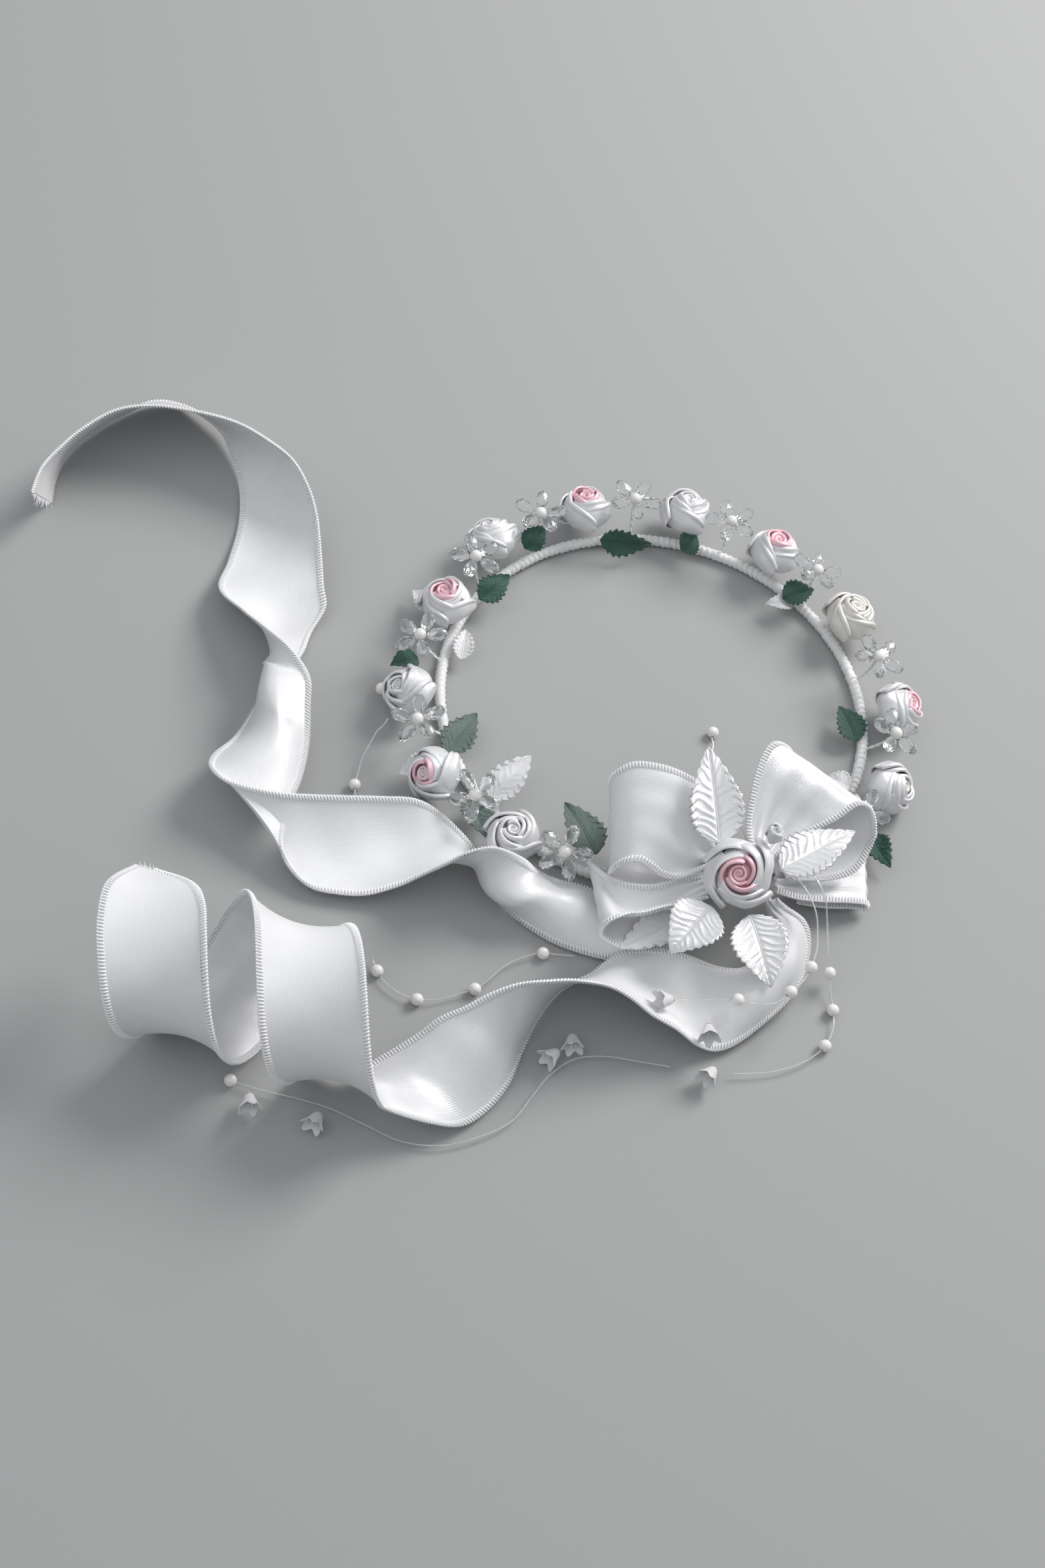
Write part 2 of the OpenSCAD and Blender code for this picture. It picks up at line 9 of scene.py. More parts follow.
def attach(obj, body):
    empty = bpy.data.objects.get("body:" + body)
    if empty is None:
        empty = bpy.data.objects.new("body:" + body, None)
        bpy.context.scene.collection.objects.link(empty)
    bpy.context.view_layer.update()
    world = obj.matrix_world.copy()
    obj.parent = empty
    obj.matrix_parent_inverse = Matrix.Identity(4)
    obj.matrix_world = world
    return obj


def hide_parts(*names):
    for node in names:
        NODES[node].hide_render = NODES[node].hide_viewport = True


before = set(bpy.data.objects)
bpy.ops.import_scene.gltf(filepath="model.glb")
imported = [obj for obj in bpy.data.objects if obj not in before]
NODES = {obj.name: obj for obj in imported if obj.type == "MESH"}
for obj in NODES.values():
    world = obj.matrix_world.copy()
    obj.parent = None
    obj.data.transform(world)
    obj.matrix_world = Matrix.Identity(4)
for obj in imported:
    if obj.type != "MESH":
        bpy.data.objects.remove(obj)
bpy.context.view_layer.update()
MM = 0.001
RING_R = 87.0
RING_Z = 2.6
WRAP_R = 2.3
RIBBON_LIFT = 0.8
RIBBON_T = 0.34
# points across a ribbon
ACROSS = 25
# run of the edge thread for one stitch
STITCH = 1.25
FRAY_LENGTH = 7.0
FRAY_THREADS = 46

# --- camera and cords ---


def add_camera():
    data = bpy.data.cameras.new("camera")
    data.lens = 58.0
    data.sensor_width = 36.0
    data.clip_start = 0.01
    camera = bpy.data.objects.new("camera", data)
    bpy.context.scene.collection.objects.link(camera)
    target = Vector((-44.3, -50.7, 0.0)) * MM
    place = Vector((-44.3, -621.4, 821.1)) * MM
    look = (target - place).to_track_quat("-Z", "Y").to_matrix().to_4x4()
    roll = Matrix.Rotation(math.radians(13.3), 4, "Z")
    camera.matrix_world = Matrix.Translation(place) @ look @ roll
    bpy.context.scene.camera = camera


add_camera()


def unit(v):
    v = np.asarray(v, float)
    size = np.linalg.norm(v, axis=-1, keepdims=True)
    return v / np.maximum(size, 1e-9)


def smooth_list(points, n):
    """Points on a smooth curve through the given ones, n steps between neighbours."""
    p = np.asarray(points, float)
    out = []
    for i in range(len(p) - 1):
        a, b = p[max(0, i - 1)], p[i]
        c, d = p[i + 1], p[min(len(p) - 1, i + 2)]
        for t in np.arange(n) / n:
            out.append(0.5 * (2 * b + (c - a) * t + (2 * a - 5 * b + 4 * c - d) * t * t
                              + (3 * b - a - 3 * c + d) * t ** 3))
    out.append(p[-1])
    return np.array(out)


def tangents(line):
    ahead = np.vstack([line[1:], line[-1:]])
    behind = np.vstack([line[:1], line[:-1]])
    return unit(ahead - behind)


def grid_faces(rows, cols, wrap=False):
    """Quads of a grid of rows x cols points, wrapped across the columns if asked."""
    i = np.arange(rows - 1)[:, None]
    j = np.arange(cols if wrap else cols - 1)[None, :]
    k = (j + 1) % cols
    a, b = i * cols + j, i * cols + k
    c, d = (i + 1) * cols + k, (i + 1) * cols + j
    return np.stack([a, b, c, d], -1).reshape(-1, 4).tolist()


class Build:
    """Collects points, faces and material numbers for one mesh, in millimetres."""

    def __init__(self):
        self.points, self.faces, self.marks, self.smooth, self.maps = [], [], [], [], []
        self.count = 0

    def add(self, points, faces, mark=0, uv=None, smooth=True):
        points = np.asarray(points, float).reshape(-1, 3)
        start = self.count
        self.points.append(points)
        self.faces += [[v + start for v in f] for f in faces]
        self.marks += [mark] * len(faces)
        self.smooth += [smooth] * len(faces)
        uv = np.zeros((len(points), 2)) if uv is None else np.asarray(uv, float).reshape(-1, 2)
        self.maps.append(uv)
        self.count += len(points)

    def rim(self, rows, cols, start, mark, smooth):
        """Closes the edge between two grids of points that follow each other from start."""
        total = rows * cols
        last = (rows - 1) * cols
        faces = []
        for i in range(rows - 1):
            a, b = i * cols, (i + 1) * cols
            faces += [[a, b, b + total, a + total]]
            a, b = a + cols - 1, b + cols - 1
            faces += [[b, a, a + total, b + total]]
        for j in range(cols - 1):
            faces += [[j + 1, j, j + total, j + 1 + total]]
            faces += [[last + j, last + j + 1, last + j + 1 + total, last + j + total]]
        self.faces += [[v + start for v in f] for f in faces]
        self.marks += [mark] * len(faces)
        self.smooth += [smooth] * len(faces)

    def piece(self, name, materials, slot, nodes=()):
        mesh = bpy.data.meshes.new(name)
        points = np.concatenate(self.points) * MM
        mesh.from_pydata(points.tolist(), [], self.faces)
        for material in materials:
            mesh.materials.append(material)
        mesh.polygons.foreach_set("material_index", self.marks)
        mesh.polygons.foreach_set("use_smooth", self.smooth)
        uv = np.concatenate(self.maps)
        layer = mesh.uv_layers.new(name="flat")
        loops = np.zeros(len(mesh.loops), np.int32)
        mesh.loops.foreach_get("vertex_index", loops)
        layer.data.foreach_set("uv", uv[loops].ravel())
        mesh.validate()
        mesh.update()
        obj = bpy.data.objects.new(name, mesh)
        bpy.context.scene.collection.objects.link(obj)
        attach(obj, "root")
        if nodes:
            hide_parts(*nodes)
        return obj


def tube(build, line, radius, sides=6, mark=0):
    """A closed tube along a line of points; the radius is one number or one for each point."""
    line = np.asarray(line, float)
    t = tangents(line)
    side = np.cross(t, [0.13, 0.21, 0.97])
    side = unit(side)
    up = np.cross(side, t)
    a = np.arange(sides) * 2 * math.pi / sides
    r = np.broadcast_to(np.asarray(radius, float), (len(line),))[:, None, None]
    ring = side[:, None, :] * np.cos(a)[None, :, None] + up[:, None, :] * np.sin(a)[None, :, None]
    points = line[:, None, :] + r * ring
    faces = grid_faces(len(line), sides, wrap=True)
    last = (len(line) - 1) * sides
    faces += [list(range(sides - 1, -1, -1)), list(range(last, last + sides))]
    build.add(points, faces, mark)


# --- materials ---


def new_material(name, color, rough, **sockets):
    m = bpy.data.materials.new(name)
    m.use_nodes = True
    shader = m.node_tree.nodes["Principled BSDF"]
    shader.inputs["Base Color"].default_value = (*color, 1)
    shader.inputs["Roughness"].default_value = rough
    for key, value in sockets.items():
        shader.inputs[key.replace("_", " ")].default_value = value
    return m


def node(m, kind, **settings):
    n = m.node_tree.nodes.new(kind)
    for key, value in settings.items():
        if key in n.inputs:
            n.inputs[key].default_value = value
        else:
            setattr(n, key, value)
    return n


def link(m, out, into):
    m.node_tree.links.new(out, into)


def weave(m, across, along, depth, tone=0.06):
    """Fine threads in both directions of the flat cloth, with soft patches of tone."""
    shader = m.node_tree.nodes["Principled BSDF"]
    where = node(m, "ShaderNodeTexCoord")
    stretch = node(m, "ShaderNodeMapping", Scale=(across, along, 1))
    link(m, where.outputs["UV"], stretch.inputs["Vector"])
    threads = node(m, "ShaderNodeTexWave", Scale=0.32, Distortion=0.6, Detail=1.0)
    threads.bands_direction = "Y"
    link(m, stretch.outputs["Vector"], threads.inputs["Vector"])
    cross_threads = node(m, "ShaderNodeTexWave", Scale=0.32, Distortion=0.4, Detail=1.0)
    cross_threads.bands_direction = "X"
    link(m, stretch.outputs["Vector"], cross_threads.inputs["Vector"])
    both = node(m, "ShaderNodeMath", operation="ADD")
    link(m, threads.outputs["Fac"], both.inputs[0])
    link(m, cross_threads.outputs["Fac"], both.inputs[1])
    bump = node(m, "ShaderNodeBump", Strength=0.35, Distance=depth * MM)
    link(m, both.outputs[0], bump.inputs["Height"])
    link(m, bump.outputs["Normal"], shader.inputs["Normal"])
    patches = node(m, "ShaderNodeTexNoise", Scale=55.0, Detail=3.0)
    link(m, where.outputs["Object"], patches.inputs["Vector"])
    ramp = node(m, "ShaderNodeValToRGB")
    base = shader.inputs["Base Color"].default_value[:3]
    ramp.color_ramp.elements[0].position = 0.3
    ramp.color_ramp.elements[0].color = (*[c * (1 - tone) for c in base], 1)
    ramp.color_ramp.elements[1].position = 0.7
    ramp.color_ramp.elements[1].color = (*base, 1)
    link(m, patches.outputs["Fac"], ramp.inputs["Fac"])
    link(m, ramp.outputs["Color"], shader.inputs["Base Color"])
    return m


def satin(name, color, rough=0.3, shine=0.22, sheen=0.1):
    m = new_material(name, color, rough, Sheen_Weight=sheen, Sheen_Roughness=0.35,
                     Specular_IOR_Level=0.7, Anisotropic=0.5, Metallic=shine)
    return weave(m, 1.0, 7.0, 0.10)


def grain(m, scale, depth, strength=0.4):
    """Fine grain in the surface of a material."""
    shader = m.node_tree.nodes["Principled BSDF"]
    where = node(m, "ShaderNodeTexCoord")
    noise = node(m, "ShaderNodeTexNoise", Scale=scale, Detail=4.0)
    link(m, where.outputs["Object"], noise.inputs["Vector"])
    bump = node(m, "ShaderNodeBump", Strength=strength, Distance=depth * MM)
    link(m, noise.outputs["Fac"], bump.inputs["Height"])
    link(m, bump.outputs["Normal"], shader.inputs["Normal"])
    return m


SATIN_FACE = satin("ribbon_face", (0.92, 0.92, 0.935), 0.30, 0.25)
SATIN_BACK = satin("ribbon_back", (0.87, 0.87, 0.88), 0.55, 0.05, 0.2)
THREAD = grain(new_material("overlock_thread", (0.90, 0.90, 0.91), 0.4, Sheen_Weight=0.3),
               900, 0.1)
ROSE_WHITE = satin("rose_white", (0.90, 0.90, 0.915), 0.30)
ROSE_PINK = satin("rose_pink", (0.96, 0.63, 0.70), 0.34)
ROSE_BLUSH = satin("rose_blush", (0.93, 0.80, 0.845), 0.30)
ROSE_IVORY = satin("rose_ivory", (0.90, 0.875, 0.83), 0.30)
TAPE = grain(new_material("florist_tape", (0.85, 0.85, 0.85), 0.55, Sheen_Weight=0.15), 420, 0.25)
STEM = grain(new_material("stem_covering", (0.84, 0.84, 0.83), 0.5), 500, 0.1)
PEARL = grain(new_material("pearl_coating", (0.88, 0.865, 0.84), 0.16, Coat_Weight=0.7,
                           Coat_Roughness=0.12, Sheen_Weight=0.3), 260, 0.02, 0.15)
ACRYLIC = grain(new_material("clear_drops", (0.97, 0.985, 0.99), 0.04, Transmission_Weight=0.94,
                             IOR=1.49), 180, 0.03, 0.12)
NYLON = grain(new_material("nylon", (0.95, 0.96, 0.97), 0.12, Transmission_Weight=0.75,
                           IOR=1.45), 300, 0.02, 0.1)
ORGANZA = weave(new_material("organza", (0.90, 0.90, 0.91), 0.45, Sheen_Weight=0.3,
                             Transmission_Weight=0.12), 5.0, 5.0, 0.12)
LEAF_SATIN = satin("pressed_satin", (0.90, 0.90, 0.91), 0.30)
LEAF_GREEN = weave(new_material("green_twill", (0.035, 0.115, 0.085), 0.62, Sheen_Weight=0.2),
                   4.0, 6.0, 0.2, 0.35)
LEAF_FADED = weave(new_material("faded_twill", (0.16, 0.22, 0.20), 0.6, Sheen_Weight=0.2),
                   4.0, 6.0, 0.2, 0.25)
GLUE = grain(new_material("set_glue", (0.72, 0.66, 0.50), 0.2, Transmission_Weight=0.4), 200, 0.1)
STEEL = grain(new_material("steel_wire", (0.55, 0.56, 0.58), 0.28, Metallic=1.0), 300, 0.05)

# --- filaments, laid on the points of the CAD routes ---

FILAMENTS = {
    "a": [
        (60, -80, 27), (66, -84, 28), (71, -89, 27), (75, -95, 25), (77, -101, 22),
        (78, -108, 20), (77, -115, 19), (75, -121, 18), (71, -127, 18), (66, -133, 17.5),
        (59, -135, 17), (52, -135, 17), (45, -137, 17), (38, -139, 17.5), (31, -141, 18)],
    "b": [
        (64, -76, 27), (71, -80, 28), (77, -87, 26), (80, -94, 21), (83, -101, 14),
        (86, -108, 7), (88, -114, 3.5), (90, -121, 2.4), (91, -129, 2.4), (89, -137, 2.4),
        (84, -144, 2.4), (78, -149, 2.4), (71, -153, 2.4), (63, -156, 2.4), (56, -158, 2.4)],
    "c": [
        (-102, -41, 9), (-103, -44, 8), (-105, -47, 7), (-106, -51, 6), (-107, -55, 5),
        (-108, -59, 4), (-108, -63, 3), (-108, -67, 2.4), (-108, -71, 2.4), (-107, -75, 2.4),
        (-105, -79, 2.4), (-102, -83, 2.4), (-98, -86, 2.4), (-94, -88, 2.4), (-90, -89, 2.4)],
    "d": [
        (-10, -124, 2.4), (-16, -125, 2.4), (-22, -126, 2.4), (-28, -129, 2.4), (-33, -133, 2.4),
        (-37, -138, 2.4), (-40, -143, 2.4), (-44, -148, 2.4), (-50, -152, 2.4), (-57, -156, 2.4),
        (-64, -158, 2.4), (-71, -157, 2.4), (-77, -154, 2.4), (-81, -150, 2.4), (-84, -145, 2.4)],
    "e": [
        (33, -161, 2.4), (21, -162, 2.4), (9, -163, 2.4), (-2, -167, 2.4), (-10, -176, 2.4),
        (-15, -187, 2.4), (-20, -198, 2.4), (-30, -207, 2.4), (-43, -214, 2.4), (-57, -216, 2.4),
        (-71, -213, 2.4), (-84, -210, 2.4), (-97, -209, 2.4), (-110, -209, 2.4), (-122, -208, 2.4)],
    "f": [
        (44, -73, 29), (42, -68, 28), (40, -63, 26), (37, -58, 22), (35, -52, 17),
        (33, -46, 12), (32, -40, 8), (30, -34, 5), (29, -29, 3.4), (28, -24, 2.4),
        (28, -20, 2.4), (27, -16, 2.4), (27, -12, 2.4), (26, -9, 2.4), (26, -6, 2.4)],
}
FILAMENT_R = 0.3


def add_filaments():
    for key, route in FILAMENTS.items():
        line = smooth_list(route, 4)
        build = Build()
        tube(build, line, FILAMENT_R, 8)
        name = "filament_" + key
        obj = build.piece(name + "_look", [NYLON], "clear_nylon", [name])


add_filaments()

# --- ring ---

TAPE_TURNS = 216
# height of a lap's edge over the turn below it
TAPE_RIDGE = 0.64


def add_ring():
    """The tape winds round the wire, each turn lapping the one before."""
    rows, cols = TAPE_TURNS * 8, 20
    around = np.linspace(0, 2 * math.pi, rows, endpoint=False)
    a = np.linspace(0, 2 * math.pi, cols, endpoint=False)
    big, small = np.meshgrid(around, a, indexing="ij")
    lap = np.mod(big * TAPE_TURNS / (2 * math.pi) + small / (2 * math.pi), 1)
    rng = np.random.default_rng(4)
    uneven = rng.normal(0, 0.07, TAPE_TURNS + 2)[(big * TAPE_TURNS / (2 * math.pi)).astype(int)]
    step = np.where(lap < 0.2, lap / 0.2, 1 - 0.8 * (lap - 0.2) / 0.8)
    r = WRAP_R - 0.58 + TAPE_RIDGE * step + uneven
    points = np.stack([(RING_R + r * np.cos(small)) * np.cos(big),
                       (RING_R + r * np.cos(small)) * np.sin(big),
                       RING_Z + r * np.sin(small)], -1)
    faces = grid_faces(rows, cols, wrap=True)
    last = (rows - 1) * cols
    faces += [[last + j, last + (j + 1) % cols, (j + 1) % cols, j] for j in range(cols)]
    build = Build()
    build.add(points, faces)
    build.piece("tape_winding", [TAPE], "paper_tape", ["hoop_wrap"])


add_ring()

# --- ribbons ---


def ribbon_frame(stations, n):
    """Centres, arms, sags, outward directions and lengths along a ribbon's stations."""
    flat = [list(s[0]) + list(s[1]) + [s[2]] for s in stations]
    line = smooth_list(flat, n)
    centre, arm, sag = line[:, :3], line[:, 3:6], line[:, 6]
    t = tangents(centre)
    out = unit(np.cross(t, arm))
    steps = np.linalg.norm(np.diff(centre, axis=0), axis=1)
    return centre, arm, sag, out, np.concatenate([[0], np.cumsum(steps)])


def overlock(build, edge, side, normal, mark):
    """Sewn edge: a thread wound round a flat core, with each stitch standing out."""
    steps = np.linalg.norm(np.diff(edge, axis=0), axis=1)
    run = np.concatenate([[0], np.cumsum(steps)])
    turns = max(3, int(run[-1] / STITCH))
    where = np.linspace(0, run[-1], turns * 9)

    def at(values):
        return np.stack([np.interp(where, run, values[:, k]) for k in range(3)], -1)

    core, out, up = at(edge), unit(at(side)), unit(at(normal))
    a = np.linspace(0, 2 * math.pi * turns, len(where))[:, None]
    line = core - 1.15 * out + 1.2 * np.cos(a) * out + 0.55 * np.sin(a) * up
    tube(build, line, 0.40, 6, mark)
    tube(build, edge - 0.25 * side, 0.34, 6, mark)


def fray(build, centre, arm, direction, seed):
    """Loose threads at a cut end."""
    rng = np.random.default_rng(seed)
    for u in np.linspace(-0.97, 0.97, FRAY_THREADS):
        start = centre + u * arm
        reach = FRAY_LENGTH * rng.uniform(0.25, 1.0) * (1 - 0.5 * abs(u))
        bend = rng.normal(0, 0.35, 3)
        t = np.linspace(0, 1, 5)[:, None]
        line = start - 0.8 * direction + direction * reach * t + bend * reach * 0.35 * t * t
        line[:, 2] = np.maximum(line[:, 2], 0.3)
        tube(build, line, np.linspace(0.16, 0.09, 5), 4)


def add_ribbon(name, stations, cad, seed, n=10, ripple=0.5, pleats=0.0, reach=11.0,
               lift=0.0, ends=(0, 0)):
    """A ribbon with a glossy face, a matt back and an overlocked edge on each side.

    Pleats are deepest at the gathered ends and fade over the reach, in millimetres.
    """
    centre, arm, sag, out, run = ribbon_frame(stations, n)
    centre = centre + [0, 0, lift]
    rng = np.random.default_rng(seed)
    u = np.linspace(-1, 1, ACROSS)
    waves = np.zeros((len(run), ACROSS))
    for k in range(7):
        freq, tilt = rng.uniform(0.03, 0.12), rng.uniform(-2.5, 2.5)
        waves += rng.uniform(0.2, 1) * np.sin(freq * run[:, None] + tilt * u[None, :]
                                              + rng.uniform(0, 6.3)) / 4
    share = run / run[-1]
    bump = ripple * waves
    for end, distance in ((0, share), (1, 1 - share)):
        close = np.exp(-distance * run[-1] / reach)[:, None] * ends[end]
        bump = bump + pleats * close * np.cos(u * math.pi * 3.5 + seed)[None, :]
    curve = centre[:, None, :] + u[None, :, None] * arm[:, None, :]
    curve = curve + ((1 - u ** 2)[None, :] * sag[:, None] + bump)[..., None] * out[:, None, :]
    along = np.gradient(curve, axis=0)
    wide = np.gradient(curve, axis=1)
    normal = unit(np.cross(along, wide))
    uv = np.stack(np.broadcast_arrays(u[None, :] * 20, run[:, None]), -1)
    build = Build()
    grid = grid_faces(len(run), ACROSS)
    build.add(curve + RIBBON_T / 2 * normal, grid, 0, uv)
    build.add(curve - RIBBON_T / 2 * normal, [f[::-1] for f in grid], 1, uv)
    build.rim(len(run), ACROSS, 0, 1, smooth=False)
    cloth = build.piece(name, [SATIN_FACE, SATIN_BACK], "ribbon_satin", cad)
    sewn = Build()
    for edge in (0, -1):
        side = unit(wide[:, edge]) * (-1 if edge == 0 else 1)
        overlock(sewn, curve[:, edge], side, normal[:, edge], 0)
    edges = sewn.piece(name + "_edges", [THREAD], "ribbon_satin")
    flat_length = float(np.linalg.norm(np.diff(curve, axis=0), axis=2).sum(0).mean())
    flat_width = float(np.linalg.norm(np.diff(curve, axis=1), axis=2).sum(1).mean())
    return cloth, edges, (flat_width * MM, flat_length * MM), curve


TAIL_LEFT = [
    ((24, -108, 8), (1, -5, -3), 2), ((12, -110, 5), (2, -11, -3), 6),
    ((-2, -109, 3), (3, -13, -2), 8), ((-14, -108, 3), (0, -13, -2), 11),
    ((-24, -107, 4), (-1, -11, -3), 11), ((-34, -105, 7), (-3, -7, -6), 13),
    ((-42, -102, 12), (-4, -1, -12), 12), ((-51, -98, 17), (-2, 7, -16), 8),
    ((-60, -97, 19), (-2, 12, -13), 8), ((-69, -96, 18), (-4, 16, -8), 8),
    ((-78, -97, 16), (-5, 17, -1), 8), ((-88, -100, 13), (-7, 17, 3), 7),
    ((-100, -104, 11), (-8, 17, 6), 5), ((-112, -107, 11), (-9, 16, 7), 5),
    ((-124, -109, 12), (-11, 14, 8), 4), ((-136, -107, 13), (-15, 12, 7), 3),
    ((-144, -101, 14), (-17, 11, 4), 3), ((-146, -89, 12), (-17, 8, 1), 5),
    ((-143, -73, 8), (-15, 6, -1), 8), ((-142, -58, 7), (-13, 5, -4), 12),
    ((-142, -45, 10), (-10, 5, -7), 15), ((-141, -34, 12), (-6, 6, -10), 15),
    ((-144, -23, 13), (1, 8, -12), 12), ((-149, -13, 12), (7, 10, -11), 9),
    ((-154, -2, 11), (15, 10, -6), 6), ((-162, 9, 9), (20, 7, 0), 2),
    ((-165, 26, 8), (18, 5, 5), 3), ((-168, 43, 9), (16, 1, 8), 5),
    ((-173, 57, 11), (15, -3, 10), 5), ((-181, 69, 13), (14, -6, 12), 4),
    ((-191, 78, 15), (12, -10, 13), 2), ((-204, 84, 16), (10, -12, 14), 0),
    ((-218, 86, 16), (7, -14, 15), 0), ((-232, 83, 17), (4, -14, 15), 0),
    ((-244, 74, 17), (2, -13, 16), 0), ((-254, 60, 17), (2, -13, 16), 0),
    ((-260, 46, 17), (2, -13, 16), 0), ((-262, 33, 17), (1, -12, 17), 0),
    ((-261, 20, 17), (0, -12, 17), 0),
]

TAIL_RIGHT = [
    ((58, -83, 12), (-4, 3, -2), -2), ((66, -89, 9), (-7, 2, -3), -7),
    ((69, -99, 5), (-8, 0, -2), -11), ((68, -110, 4), (-8, 4, 0), -13),
    ((63, -119, 3), (-7, 8, 0), -13), ((56, -127, 3), (-5, 12, 1), -12),
    ((48, -132, 4), (-6, 15, 2), -7), ((40, -134, 6), (-8, 17, 3), -2),
    ((32, -135, 9), (-9, 18, 1), 1), ((24, -135, 12), (-8, 18, -4), 2),
    ((15, -136, 14), (-7, 17, -8), 2), ((7, -138, 16), (-5, 14, -13), 1),
    ((0, -141, 17), (-3, 11, -16), 0), ((-9, -145, 18), (0, 10, -18), 0),
    ((-16, -149, 18), (3, 9, -18), 1), ((-23, -154, 17), (6, 6, -16), 4),
    ((-29, -161, 15), (9, 3, -14), 6), ((-34, -169, 12), (12, 0, -12), 7),
    ((-39, -178, 10), (15, -5, -9), 7), ((-45, -187, 7), (16, -8, -6), 6),
    ((-54, -196, 5), (17, -9, -2), 5), ((-65, -203, 6), (17, -7, 3), 5),
]


def coil_station(a):
    """One station of the coil at the end of the right tail, at angle a in degrees."""
    s, c = math.sin(math.radians(a)), math.cos(math.radians(a))
    x = -73 - 58 * a / 360
    past = max(0, a - 595 + 60) / 60
    arm = 17 * math.sqrt(1 - 0.94 * past * past)
    centre = (x, -184 - 0.06 * (x + 73) - 30 * s, 2 + 25 * (1 - c))
    return centre, (arm, -0.06 * arm - 10 * arm / 17 * c, 10 * arm / 17 * s), 4 * (1 - past)


LOOPS = {
    "back_left": [
        ((33, -82, 29), (1, 4, 2), 0), ((27, -81, 31), (5, 13, 5), -3),
        ((20, -79, 34), (5, 17, 7), -5), ((12, -78, 38), (3, 18, 7), -3),
        ((5, -78, 40), (0, 18, 7), -1), ((-2, -79, 39), (-3, 18, 7), 0),
        ((-7, -81, 34), (-4, 17, 7), 0), ((-8, -81, 27), (-4, 17, 7), 0),
        ((-4, -80, 21), (-3, 17, 5), 0), ((4, -79, 17), (-3, 17, 3), 0),
        ((13, -79, 17), (-3, 15, 2), 1), ((23, -81, 19), (-2, 11, 2), 1),
        ((32, -83, 22), (0, 5, 1), 0)],
    "back_right": [
        ((50, -78, 29), (-4, 1, 1), 0), ((52, -70, 33), (-10, 0, 2), -2),
        ((55, -61, 39), (-14, 3, 5), -3), ((59, -53, 43), (-17, 6, 6), -1),
        ((64, -46, 45), (-19, 6, 5), 0), ((70, -43, 40), (-19, 6, 5), 1),
        ((74, -45, 32), (-19, 7, 5), 1), ((74, -49, 25), (-19, 8, 5), 0),
        ((70, -57, 20), (-19, 9, 4), 0), ((64, -65, 18), (-15, 7, 3), 1),
        ((57, -74, 19), (-8, 3, 2), 1)],
    "front_left": [
        ((33, -93, 23), (-1, 4, 1), 0), ((25, -98, 25), (-2, 5, 0), 6),
        ((16, -103, 25), (-2, 5, -1), 8), ((8, -107, 26), (-3, 6, -1), 9),
        ((1, -108, 26), (-4, 8, -2), 7), ((-5, -107, 24), (-5, 13, -4), 2),
        ((-8, -106, 20), (-5, 16, -3), 0), ((-7, -106, 16), (-5, 17, -2), 0),
        ((1, -106, 13), (-5, 17, -1), 0), ((11, -104, 13), (-5, 16, -1), 0),
        ((22, -99, 14), (-3, 10, 0), 0), ((32, -94, 16), (-1, 4, 0), 0)],
    "front_right": [
        ((59, -79, 15), (-1, 4, 1), 0), ((68, -74, 13), (-1, 8, 1), -1),
        ((78, -68, 11), (-2, 11, 1), -1), ((88, -64, 10), (-2, 12, 1), 0),
        ((94, -62, 8), (-2, 12, 1), 0), ((95, -62, 5), (-2, 12, 1), 0),
        ((89, -63, 4), (-2, 12, 0), 0), ((79, -67, 5), (-2, 11, 0), 0),
        ((69, -74, 7), (-1, 6, 0), 0)],
}


def add_tails():
    coil = [coil_station(a) for a in range(45, 596, 25)]
    for name, stations, seed in (("tail_left", TAIL_LEFT, 3), ("tail_right", TAIL_RIGHT + coil, 8)):
        cloth, edges, flat, curve = add_ribbon(
            name + "_cloth", stations, [name], seed, lift=RIBBON_LIFT, pleats=1.2, ends=(1, 0))
        loose = Build()
        centre, arm = curve[-1].mean(0), (curve[-1, -1] - curve[-1, 0]) / 2
        direction = unit(curve[-1, ACROSS // 2] - curve[-4, ACROSS // 2])
        fray(loose, centre, arm, direction, seed)
        threads = loose.piece(name + "_fray", [THREAD], "ribbon_satin")


def add_loops():
    for k, (key, stations) in enumerate(LOOPS.items()):
        name = "bow_loop_" + key
        cloth, edges, flat, _ = add_ribbon(name + "_cloth", stations, [name], 20 + k, n=9,
                                           ripple=0.7, pleats=1.1, reach=15.0, ends=(1, 1))


add_tails()
add_loops()

# --- roses ---

SATINS = [ROSE_WHITE, ROSE_PINK, ROSE_BLUSH, ROSE_IVORY, ORGANZA]
WHITE, PINK, BLUSH, IVORY, SHEER = range(len(SATINS))

# steps out, then the shares of the face and the rim, and the height, from foot to rim
PETAL_PROFILE = smooth_list([
    (1.5, 0.00, 0.0, 0.00), (0.0, 0.60, 0.0, 0.05), (0.0, 0.88, 0.0, 0.22),
    (0.0, 1.00, 0.0, 0.48), (0.0, 0.80, 0.20, 0.72), (0.0, 0.35, 0.65, 0.91),
    (-0.1, 0.0, 1.0, 0.985), (0.4, 0.0, 1.0, 1.0), (1.0, 0.0, 1.0, 0.95),
    (1.1, 0.0, 1.0, 0.84)], 3)


